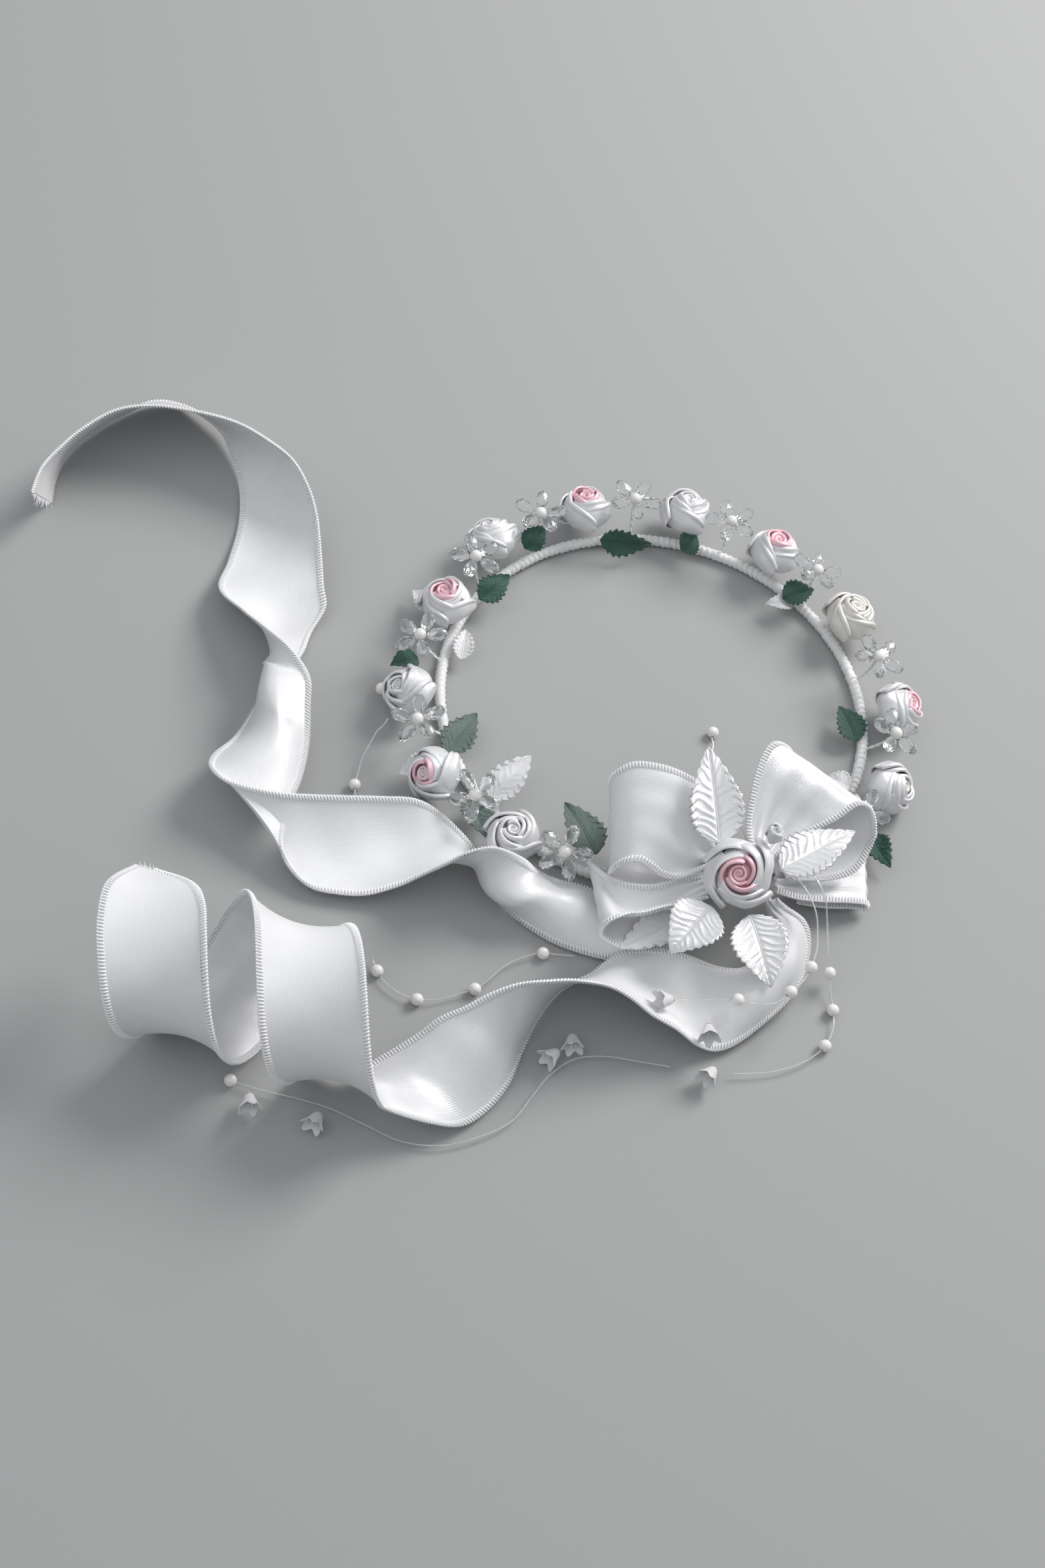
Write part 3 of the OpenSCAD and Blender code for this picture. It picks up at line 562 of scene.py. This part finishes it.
def petal(build, mark, turn, spread, tucked, reach, belly, height, seed, thick=0.55):
    """A folded satin petal: its rim swings out from the heart and its face bellies out below."""
    rng = np.random.default_rng(seed)
    u = np.linspace(0, 1, 33)
    flat = 0.94 + 0.10 * (2 * u - 1) ** 2 + 0.035 * np.sin(7 * u + rng.uniform(0, 6))
    rim = (tucked + (reach - tucked) * u ** 1.3) * flat
    wide = belly * (0.84 + 0.16 * u) * flat
    top = height * (1 - 0.42 * u ** 7 - 0.10 * (1 - u) ** 3)
    top = top + 0.35 * np.sin(5 * u + rng.uniform(0, 6))
    steps, widths, rims, rises = (PETAL_PROFILE[:, k][:, None] for k in range(4))
    r = steps + widths * wide[None, :] + rims * rim[None, :]
    angle = turn + u[None, :] * spread + 0.10 * rises
    crease = np.sin(11 * u[None, :] + 3 * rises + rng.uniform(0, 6))
    r = r + 0.16 * crease * widths + 0.22 * np.sin(17 * u[None, :] - 5 * rises) * (1 - rises) * widths
    outer = np.stack([r * np.cos(angle), r * np.sin(angle), rises * top[None, :] + 0 * r], -1)
    along, across = np.gradient(outer, axis=0), np.gradient(outer, axis=1)
    normal = unit(np.cross(across, along))
    uv = np.stack(np.broadcast_arrays(angle * belly, rises * 18), -1)
    close_sheet(build, outer, normal, thick, mark, uv)


def close_sheet(build, mid, normal, thick, mark, uv):
    """A thin closed sheet about the grid of points mid."""
    rows, cols = mid.shape[:2]
    grid = grid_faces(rows, cols)
    start = build.count
    build.add(mid + normal * thick / 2, grid, mark, uv)
    build.add(mid - normal * thick / 2, [f[::-1] for f in grid], mark, uv)
    build.rim(rows, cols, start, mark, smooth=True)


def heart(build, mark, radius, height, turns, start=0.0):
    """The rolled satin band in the middle of a rose, folded over along its top."""
    n = int(turns * 40)
    a = np.linspace(0, 1, n)
    pitch = (radius - 0.3) / turns
    r = 0.3 + (radius - 0.3 - pitch / 2) * a
    angle = start + a * turns * 2 * math.pi
    top = height * (0.93 + 0.07 * a) + 0.35 * np.sin(angle * 1.3 + start)
    lip = np.array([(-0.40, 0.0), (-0.42, 0.78), (-0.36, 0.91), (-0.14, 0.985), (0.14, 1.0),
                    (0.36, 0.95), (0.44, 0.84), (0.42, 0.0)])
    points = np.zeros((n, len(lip), 3))
    for k, (dr, dz) in enumerate(lip):
        across = r + dr * pitch * (1.0 + 0.12 * np.sin(angle * 2.3))
        points[:, k] = np.stack([across * np.cos(angle), across * np.sin(angle), top * dz], -1)
    uv = np.stack(np.broadcast_arrays((angle * radius)[:, None], lip[:, 1][None, :] * 14), -1)
    faces = grid_faces(n, len(lip), wrap=True)
    last = (n - 1) * len(lip)
    faces += [list(range(len(lip) - 1, -1, -1)), list(range(last, last + len(lip)))]
    build.add(points, faces, mark, uv)


def filler(build, mark, radius, height):
    """Gathered satin that closes the gap between two layers of petals."""
    t = np.linspace(0, 1, 7)[:, None]
    a = np.linspace(0, 2 * math.pi, 48, endpoint=False)[None, :]
    r = radius * t * (1 + 0.03 * np.sin(9 * a))
    top = np.stack([r * np.cos(a), r * np.sin(a), height * (1 - 0.10 * t ** 2) + 0 * a], -1)
    foot = np.stack([r[-1:] * 0.4 * np.cos(a), r[-1:] * 0.4 * np.sin(a), 0.5 + 0 * a], -1)
    build.add(np.concatenate([top, foot]), grid_faces(8, 48, wrap=True), mark)


def calyx(build, mark, reach, seed):
    """A star of pointed sepals under a rose."""
    rng = np.random.default_rng(seed)
    t = np.linspace(0, 1, 9)[:, None]
    s = np.linspace(-1, 1, 5)[None, :]
    for k in range(6):
        turn = k * math.pi / 3 + rng.normal(0, 0.12)
        out = 1.0 + t * reach * rng.uniform(0.85, 1.0) + 0 * s
        side = s * (1.5 * np.sin(math.pi * t ** 0.7 * 0.93) + 0.15)
        rise = 0.35 + 1.2 * t ** 2 + 0.3 * np.abs(s)
        mid = np.stack([out * math.cos(turn) - side * math.sin(turn),
                        out * math.sin(turn) + side * math.cos(turn), rise + 0 * out], -1)
        normal = unit(np.cross(np.gradient(mid, axis=0), np.gradient(mid, axis=1)))
        close_sheet(build, mid, normal, 0.25, mark, np.stack([side, out], -1))


# number of petals, then how far the rims and the faces reach, and how high the rims stand
ROSE_LAYERS = ((3, 0.24, 0.38, 1.0), (3, 0.58, 0.72, 0.94), (4, 0.94, 0.97, 0.80))
BOW_LAYERS = ((3, 0.30, 0.42, 1.0), (3, 0.62, 0.76, 0.94), (4, 0.94, 0.99, 0.80))


def rose_shape(d, h, share, marks, seed, layers=ROSE_LAYERS):
    """A rose standing on the origin along +Z; marks are its heart, inner and outer satins."""
    rng = np.random.default_rng(seed)
    build = Build()
    full = d / 2 * 0.97
    heart_r = full * share
    heart(build, marks[0], heart_r * 1.05, h * 0.98, 1.4 + heart_r / 6.0, rng.uniform(0, 6))
    inside = heart_r
    for k, (number, reach, belly, height) in enumerate(layers):
        reach = heart_r + (full * 0.93 - heart_r) * reach
        belly = heart_r + (full - heart_r) * belly
        offset = rng.uniform(0, 6.3)
        filler(build, marks[min(k, 2)], inside * 1.05, h * height * 0.86)
        for i in range(number):
            turn = offset + i * 2 * math.pi / number + rng.normal(0, 0.06)
            spread = 2 * math.pi / number * rng.uniform(1.25, 1.40)
            petal(build, marks[min(k + 1, 2)], turn, spread, inside * 0.90, reach,
                  belly * (1 + rng.normal(0, 0.015)), h * height * (1 + rng.normal(0, 0.03)),
                  seed * 31 + k * 7 + i)
        inside = reach * 0.93
    calyx(build, SHEER, d * 0.30, seed)
    return build


# angle round the ring, distance, height and outward tilt, then the share of the heart, then
# the satins of the heart, the inner petals and the outer petals
ROSES = [
    (144, 95, 7, 35, 0.28, WHITE, WHITE, WHITE),
    (118, 94, 7, 20, 0.36, PINK, PINK, WHITE),
    (92, 94, 7, 20, 0.32, WHITE, WHITE, WHITE),
    (67, 92, 7, 15, 0.42, PINK, PINK, WHITE),
    (40, 93, 7, 15, 0.38, IVORY, IVORY, IVORY),
    (12, 95, 7, 50, 0.36, PINK, PINK, WHITE),
    (-11, 96, 7, 50, 0.30, IVORY, WHITE, WHITE),
    (168, 92, 7, 15, 0.36, PINK, PINK, WHITE),
    (196, 96, 7, 45, 0.28, WHITE, WHITE, WHITE),
    (219, 96, 7, 50, 0.32, BLUSH, PINK, WHITE),
    (243, 94, 7, 10, 0.30, WHITE, WHITE, WHITE),
]
ROSE_SLOTS = {WHITE: "satin_white", PINK: "satin_pink", BLUSH: "satin_pink", IVORY: "satin_ivory"}
ROSE_D = 24.0
ROSE_H = 15.0


def place_all(build, matrix):
    for k, points in enumerate(build.points):
        build.points[k] = points @ matrix[:3, :3].T + matrix[:3, 3]


def on_ring(angle, distance, height, tilt):
    turn = Matrix.Rotation(math.radians(angle), 4, "Z")
    out = Matrix.Translation((distance, 0, height))
    lean = Matrix.Rotation(math.radians(tilt), 4, "Y")
    return np.array(turn @ out @ lean)


def add_roses():
    for i, (angle, distance, height, tilt, share, *marks) in enumerate(ROSES):
        build = rose_shape(ROSE_D, ROSE_H, share, marks, 40 + i)
        place_all(build, on_ring(angle, distance, height, tilt))
        slot = ROSE_SLOTS[marks[0]]
        name = "rose_%02d" % (i + 1)
        build.piece(name + "_petals", SATINS, slot, [name])


add_roses()

# --- bead flowers ---

BEAD_FLOWERS = [
    (155, 93, 22, 0), (132, 94, 22, 0), (106, 93, 22, 0), (80, 91, 22, 0), (54, 94, 20, 20),
    (24, 94, 20, 15), (1, 97, 20, 20), (-24, 98, 19, 30), (183, 98, 20, 20), (207, 101, 20, 20),
    (231, 97, 21, 40), (256, 94, 21, 40),
]
PEARL_R = 2.5
DROP_L = 8.5
DROP_D = 5.4
DROP_RISE = 12
DROPS = 5


def faceted_drop(length, width):
    """A clear drop with flat facets, its thin end at the origin, along +X."""
    profile = [(0.0, 0.20), (0.12, 0.34), (0.36, 0.48), (0.64, 0.50), (0.84, 0.40),
               (0.95, 0.24), (1.0, 0.10)]
    facets = 7
    rows = []
    for k, (x, r) in enumerate(profile):
        a = (np.arange(facets) + 0.5 * (k % 2)) * 2 * math.pi / facets
        rows.append(np.stack([np.full(facets, x * length), r * width * np.cos(a),
                              r * width * np.sin(a)], -1))
    points = np.array(rows)
    faces = []
    for k in range(len(profile) - 1):
        for j in range(facets):
            a, b = k * facets + j, k * facets + (j + 1) % facets
            c, d = a + facets, b + facets
            if k % 2 == 0:
                faces += [[a, b, c], [b, d, c]]
            else:
                faces += [[a, b, d], [a, d, c]]
    last = (len(profile) - 1) * facets
    faces += [list(range(facets - 1, -1, -1)), list(range(last, last + facets))]
    return points.reshape(-1, 3), faces


def add_bead_flowers():
    drop, faces = faceted_drop(DROP_L, DROP_D)
    rng = np.random.default_rng(12)
    for i, place in enumerate(BEAD_FLOWERS):
        build = Build()
        where = on_ring(*place)
        for k in range(DROPS):
            turn = Matrix.Rotation(k * 2 * math.pi / DROPS + math.radians(36), 4, "Z")
            out = Matrix.Translation((PEARL_R + 0.4, 0, -1))
            rise = Matrix.Rotation(-math.radians(DROP_RISE) + rng.normal(0, 0.06), 4, "Y")
            spin = Matrix.Rotation(rng.uniform(0, 6), 4, "X")
            m = where @ np.array(turn @ out @ rise @ spin)
            build.add(drop @ m[:3, :3].T + m[:3, 3], faces, 0, smooth=False)
        name = "bead_flower_%02d" % (i + 1)
        build.piece(name + "_drops", [ACRYLIC], "clear_acrylic", [name])


def add_stems():
    """Two covered wires under each pearl, twisted together down to the ring."""
    build = Build()
    for angle, distance, height, tilt in BEAD_FLOWERS:
        turn = np.array(Matrix.Rotation(math.radians(angle), 3, "Z"))
        reach = PEARL_R + 0.3
        top = np.array([distance - reach * math.sin(math.radians(tilt)), 0,
                        height - reach * math.cos(math.radians(tilt))])
        foot = np.array([RING_R + 1.2, 0, RING_Z + WRAP_R + 0.5])
        t = np.linspace(0, 1, 40)[:, None]
        line = foot + (top - foot) * t + np.array([1.2, 0, 0]) * np.sin(t * math.pi)
        for phase in (0, math.pi):
            a = t * 16 + phase
            wound = line + 0.34 * (np.cos(a) * [0, 1, 0] + np.sin(a) * [1, 0, 0])
            tube(build, wound @ turn.T, 0.33, 6)
    build.piece("flower_stem_wires", [STEM], "stem_plastic", ["flower_stems"])


add_bead_flowers()
add_stems()

# --- leaves ---

LEAF_T = 0.3
LEAF_CUP = 1.2


def leaf_sheet(build, length, width, matrix, mark, teeth, curl, vein, seed):
    """A pressed leaf: saw-toothed edge, raised midrib and slanting side veins."""
    rng = np.random.default_rng(seed)
    t = np.linspace(0, 1, 6 * teeth + 13)
    s = np.linspace(-1, 1, 33)
    half = 0.5 * width * np.maximum(np.sin(math.pi * t ** 0.8), 0) ** 0.85
    saw = np.mod(t * teeth, 1)
    tooth = min(1.9, 0.8 * length / teeth) * (saw - 0.4) * np.sin(math.pi * np.clip(t * 1.05, 0, 1)) ** 0.4
    edge = np.maximum(half, 0.45 * (1 - t)) + tooth
    edge = np.maximum(edge, 0.05)
    tt, ss = np.meshgrid(t, s, indexing="ij")
    outer = np.abs(ss) ** 3
    y = ss * (half[:, None] * (1 - outer) + edge[:, None] * outer)
    x = tt * length - 0.10 * length * outer * np.sin(math.pi * tt)
    veins = np.abs(np.mod(tt * 0.85 * teeth - np.abs(ss) * 2.4 + 0.15 * np.sin(tt * 23), 1) - 0.5) * 2
    z = LEAF_CUP * (np.abs(ss) ** 1.6) * np.sin(math.pi * tt)
    z += curl * np.sin(math.pi * tt * 0.9 + rng.uniform(-0.3, 0.3))
    z += vein * np.exp(-(veins / 0.24) ** 2) * (1 - ss ** 4) * np.minimum(1, 6 * np.abs(ss))
    z -= 1.4 * vein * np.exp(-(y / 0.55) ** 2)
    z += 0.25 * np.sin(tt * 9 + ss * 3 + rng.uniform(0, 6))
    mid = np.stack([x, y, z], -1)
    normal = unit(np.cross(np.gradient(mid, axis=0), np.gradient(mid, axis=1)))
    m = np.asarray(matrix)
    points = mid @ m[:3, :3].T + m[:3, 3]
    turned = normal @ m[:3, :3].T
    close_sheet(build, points, turned, LEAF_T, mark, np.stack([y, x], -1))
    rib = np.stack([t * length, 0 * t, z[:, len(s) // 2] + 0.3], -1)[1:-6]
    tube(build, rib @ m[:3, :3].T + m[:3, 3], np.linspace(0.42, 0.14, len(rib)), 6, mark)


def leaf_matrix(base, turn, rise, roll):
    m = Matrix.Translation(base) @ Matrix.Rotation(math.radians(turn), 4, "Z")
    m = m @ Matrix.Rotation(math.radians(-rise), 4, "Y")
    return np.array(m @ Matrix.Rotation(math.radians(roll), 4, "X"))


LEAVES = {
    "green_leaves_back": [
        ((-36, 74, 9), 12, 0, 60, 22, 11, 0), ((-66, 60, 9), 60, 20, 20, 13, 10, 0),
        ((-2, 80, 8), 60, 0, 30, 11, 10, 0), ((44, 66, 9), 35, 0, 10, 15, 11, 0)],
    "green_leaves_left": [
        ((-79, 28, 9), 55, 10, 20, 17, 11, 0), ((-97, -8, 8), 215, 0, 0, 12, 10, 0),
        ((-76, -48, 5), 70, 5, 0, 22, 13, 1), ((-62, -68, 6), 300, -2, 0, 17, 12, 1),
        ((-10, -80, 8), 135, 10, 0, 24, 15, 1)],
    "green_leaves_right": [
        ((84, 4, 6), 125, 5, 0, 17, 12, 0), ((95, -40, 5), -55, 3, 20, 16, 10, 0)],
    "white_leaves_left": [
        ((-96, 18, 6), 140, 0, 0, 14, 10, 2), ((-80, -2, 6), 95, 0, 0, 15, 8, 2),
        ((-80, -57, 8), 215, 0, 0, 15, 11, 2), ((-55, -66, 7), 60, 15, 0, 24, 14, 2)],
    "white_leaves_right": [
        ((84, -20, 6), 165, 0, 0, 11, 9, 2), ((49, 66, 6), 195, 0, 0, 12, 8, 2)],
    "bow_leaf_back": [((33, -83, 38), 112, 27, 0, 37, 21, 3)],
    "bow_leaf_right": [((58, -87, 36), 41, 10, -10, 33, 20, 3)],
    "bow_leaf_front_left": [((35, -106, 30), 240, -16, 0, 24, 21, 3)],
    "bow_leaf_front_right": [((50, -105, 29), 302, -26, 0, 28, 22, 3)],
    "bow_leaf_left": [((26, -105, 16), 222, -3, 0, 28, 15, 2)],
}
CLOTHS = [LEAF_GREEN, LEAF_FADED, ORGANZA, LEAF_SATIN]


def add_leaves():
    for k, (name, leaves) in enumerate(LEAVES.items()):
        build = Build()
        for i, (base, turn, rise, roll, length, width, cloth) in enumerate(leaves):
            big = width > 18
            curl = 0.3 if name == "bow_leaf_left" else 1.5
            leaf_sheet(build, length, width, leaf_matrix(base, turn, rise, roll), cloth,
                       teeth=12 if big else 8, curl=curl, vein=0.34 if big else 0.25,
                       seed=60 + 9 * k + i)
        slot = {"g": "green_fabric", "w": "organza"}.get(name[0], "leaf_satin")
        slot = "organza" if name == "bow_leaf_left" else slot
        build.piece(name + "_cloth", CLOTHS, slot, [name])


add_leaves()

# --- bow centre, bells and pearls ---

BOW_ROSE_D = 30.0
BOW_ROSE_H = 16.0
BOW_ROSE_AT = (43, -88, 30)
BOW_ROSE_FACING = (-0.1, -0.75, 1)
BUD_AT = (52, -79, 43)
KNOT_AT = (45, -86, 18)
KNOT_HALF = (9.6, 6.4, 8.0)


def align(direction):
    return Vector(direction).to_track_quat("Z", "Y").to_matrix().to_4x4()


def add_bow_centre():
    build = rose_shape(BOW_ROSE_D, BOW_ROSE_H, 0.32, (PINK, PINK, WHITE), 77, BOW_LAYERS)
    m = Matrix.Translation(BOW_ROSE_AT) @ align(BOW_ROSE_FACING)
    place_all(build, np.array(m))
    build.piece("bow_rose_petals", SATINS, "satin_pink", ["bow_rose"])
    bud = Build()
    heart(bud, 0, 1.9, 7.8, 1.5)
    for i in range(4):
        petal(bud, 0, i * math.pi / 2 + 0.4, 2.6, 1.5, 2.1, 3.2, 8.0 - 0.4 * i, 90 + i, 0.3)
    place_all(bud, np.array(Matrix.Translation(BUD_AT)))
    bud.piece("bow_bud_petals", [ORGANZA], "organza", ["bow_bud"])
    knot = Build()
    a = np.linspace(0, 2 * math.pi, 64, endpoint=False)
    b = np.linspace(-math.pi / 2, math.pi / 2, 33)
    bb, aa = np.meshgrid(b, a, indexing="ij")
    fold = 1 + 0.045 * np.sin(aa * 9 + 2 * bb) * np.cos(bb) + 0.02 * np.sin(aa * 17 + 1)
    shape = [fold * np.cos(bb) * np.cos(aa), fold * np.cos(bb) * np.sin(aa), np.sin(bb) + 0 * aa]
    points = KNOT_AT + np.array(KNOT_HALF) * np.stack(shape, -1)
    knot.add(points, grid_faces(33, 64, wrap=True), 0, np.stack([aa * 8, bb * 8], -1))
    knot.piece("bow_knot_cloth", [SATIN_FACE], "ribbon_satin", ["bow_knot"])


BELLS = [
    ((49, -159, 5), (-0.5, -1, 0.1)), ((43, -147, 14), (0.2, -1, 0.2)),
    ((28, -142, 18), (-1, -0.5, 0.3)), ((-5, -159, 5), (0.2, -1, 0.1)),
    ((-9, -167, 5), (-0.7, -1, 0.1)), ((-88, -214, 5), (-0.2, -1, 0.1)),
    ((-114, -213, 5), (0.3, -1, 0.1)),
]


def add_bells():
    """Pressed organza bells with five pointed lobes, a thread inside and glue at the foot."""
    build = Build()
    for k, (foot, facing) in enumerate(BELLS):
        m = np.array(Matrix.Translation(foot) @ align(facing))
        a = np.linspace(0, 2 * math.pi, 61)
        profile = smooth_list([(0.7, 0.2), (1.5, 0.6), (2.1, 2.0), (2.9, 4.0), (4.0, 6.0)], 4)
        v = np.linspace(0, 1, len(profile))[:, None]
        lobes = 1 + 0.16 * np.cos(5 * a + k)[None, :] * v ** 3
        r = profile[:, 0][:, None] * lobes
        z = profile[:, 1][:, None] + 0.9 * np.cos(5 * a + k)[None, :] * v ** 4
        mid = np.stack([r * np.cos(a)[None, :], r * np.sin(a)[None, :], z + 0 * r], -1)
        normal = unit(np.cross(np.gradient(mid, axis=1), np.gradient(mid, axis=0)))
        uv = np.stack(np.broadcast_arrays(a[None, :] * 3, v * 8), -1)
        close_sheet(build, mid @ m[:3, :3].T + m[:3, 3], normal @ m[:3, :3].T, 0.25, 0, uv)
        for j in range(3):
            t = np.linspace(0, 1, 6)[:, None]
            line = t * np.array([math.cos(j * 2.1), math.sin(j * 2.1), 5.0]) + [0, 0, 0.4]
            tube(build, line @ m[:3, :3].T + m[:3, 3], 0.22, 5, 0)
        u = np.linspace(0, math.pi, 9)
        blob = np.stack([1.2 * np.sin(u)[:, None] * np.cos(a)[None, :],
                         1.2 * np.sin(u)[:, None] * np.sin(a)[None, :],
                         0.2 - 1.1 * np.cos(u)[:, None] + 0 * a[None, :]], -1)
        build.add(blob @ m[:3, :3].T + m[:3, 3], grid_faces(9, 61), 1)
    build.piece("bell_flowers", [ORGANZA, GLUE], "organza", ["spray_bells"])


def finish_cad(name, material):
    """Gives a CAD node that keeps its shape its material and smooth shading."""
    mesh = NODES[name].data
    mesh.materials.clear()
    mesh.materials.append(material)
    mesh.shade_smooth()


add_bow_centre()
add_bells()
finish_cad("flower_pearls", PEARL)
finish_cad("spray_pearls", PEARL)
finish_cad("hoop_wire", STEEL)
finish_cad("bow_tie_wire", STEEL)

# --- floor and light ---

FLOOR_HALF = 3.0


def add_floor():
    mesh = bpy.data.meshes.new("floor")
    corners = [(-1, -1), (1, -1), (1, 1), (-1, 1)]
    mesh.from_pydata([(x * FLOOR_HALF, y * FLOOR_HALF, 0) for x, y in corners], [], [[0, 1, 2, 3]])
    mesh.materials.append(new_material("floor_card", (0.385, 0.387, 0.387), 0.8))
    obj = bpy.data.objects.new("floor", mesh)
    bpy.context.scene.collection.objects.link(obj)


def add_light(name, place, size, power, color=(1, 1, 1)):
    data = bpy.data.lights.new(name, "AREA")
    data.shape = "RECTANGLE"
    data.size, data.size_y = size
    data.energy = power
    data.color = color
    obj = bpy.data.objects.new(name, data)
    obj.location = place
    obj.rotation_mode = "QUATERNION"
    obj.rotation_quaternion = (Vector((-0.05, -0.05, 0)) - Vector(place)).to_track_quat("-Z", "Y")
    bpy.context.scene.collection.objects.link(obj)


def add_world():
    """A room that is bright overhead and darker towards the horizon."""
    world = bpy.data.worlds.new("soft_room")
    world.use_nodes = True
    tree = world.node_tree
    where = tree.nodes.new("ShaderNodeTexCoord")
    split = tree.nodes.new("ShaderNodeSeparateXYZ")
    ramp = tree.nodes.new("ShaderNodeValToRGB")
    ramp.color_ramp.elements[0].position = 0.05
    ramp.color_ramp.elements[0].color = (0.16, 0.165, 0.17, 1)
    ramp.color_ramp.elements[1].position = 0.85
    ramp.color_ramp.elements[1].color = (0.60, 0.615, 0.63, 1)
    tree.links.new(where.outputs["Generated"], split.inputs["Vector"])
    tree.links.new(split.outputs["Z"], ramp.inputs["Fac"])
    tree.links.new(ramp.outputs["Color"], tree.nodes["Background"].inputs["Color"])
    tree.nodes["Background"].inputs["Strength"].default_value = 1.0
    bpy.context.scene.world = world


add_floor()
add_world()
add_light("window", (0.8, 1.0, 1.1), (0.8, 0.8), 25, (1.0, 0.99, 0.98))
add_light("fill", (-1.0, -0.6, 1.2), (1.4, 1.4), 3, (0.95, 0.97, 1.0))
bpy.context.scene.view_settings.view_transform = "Standard"
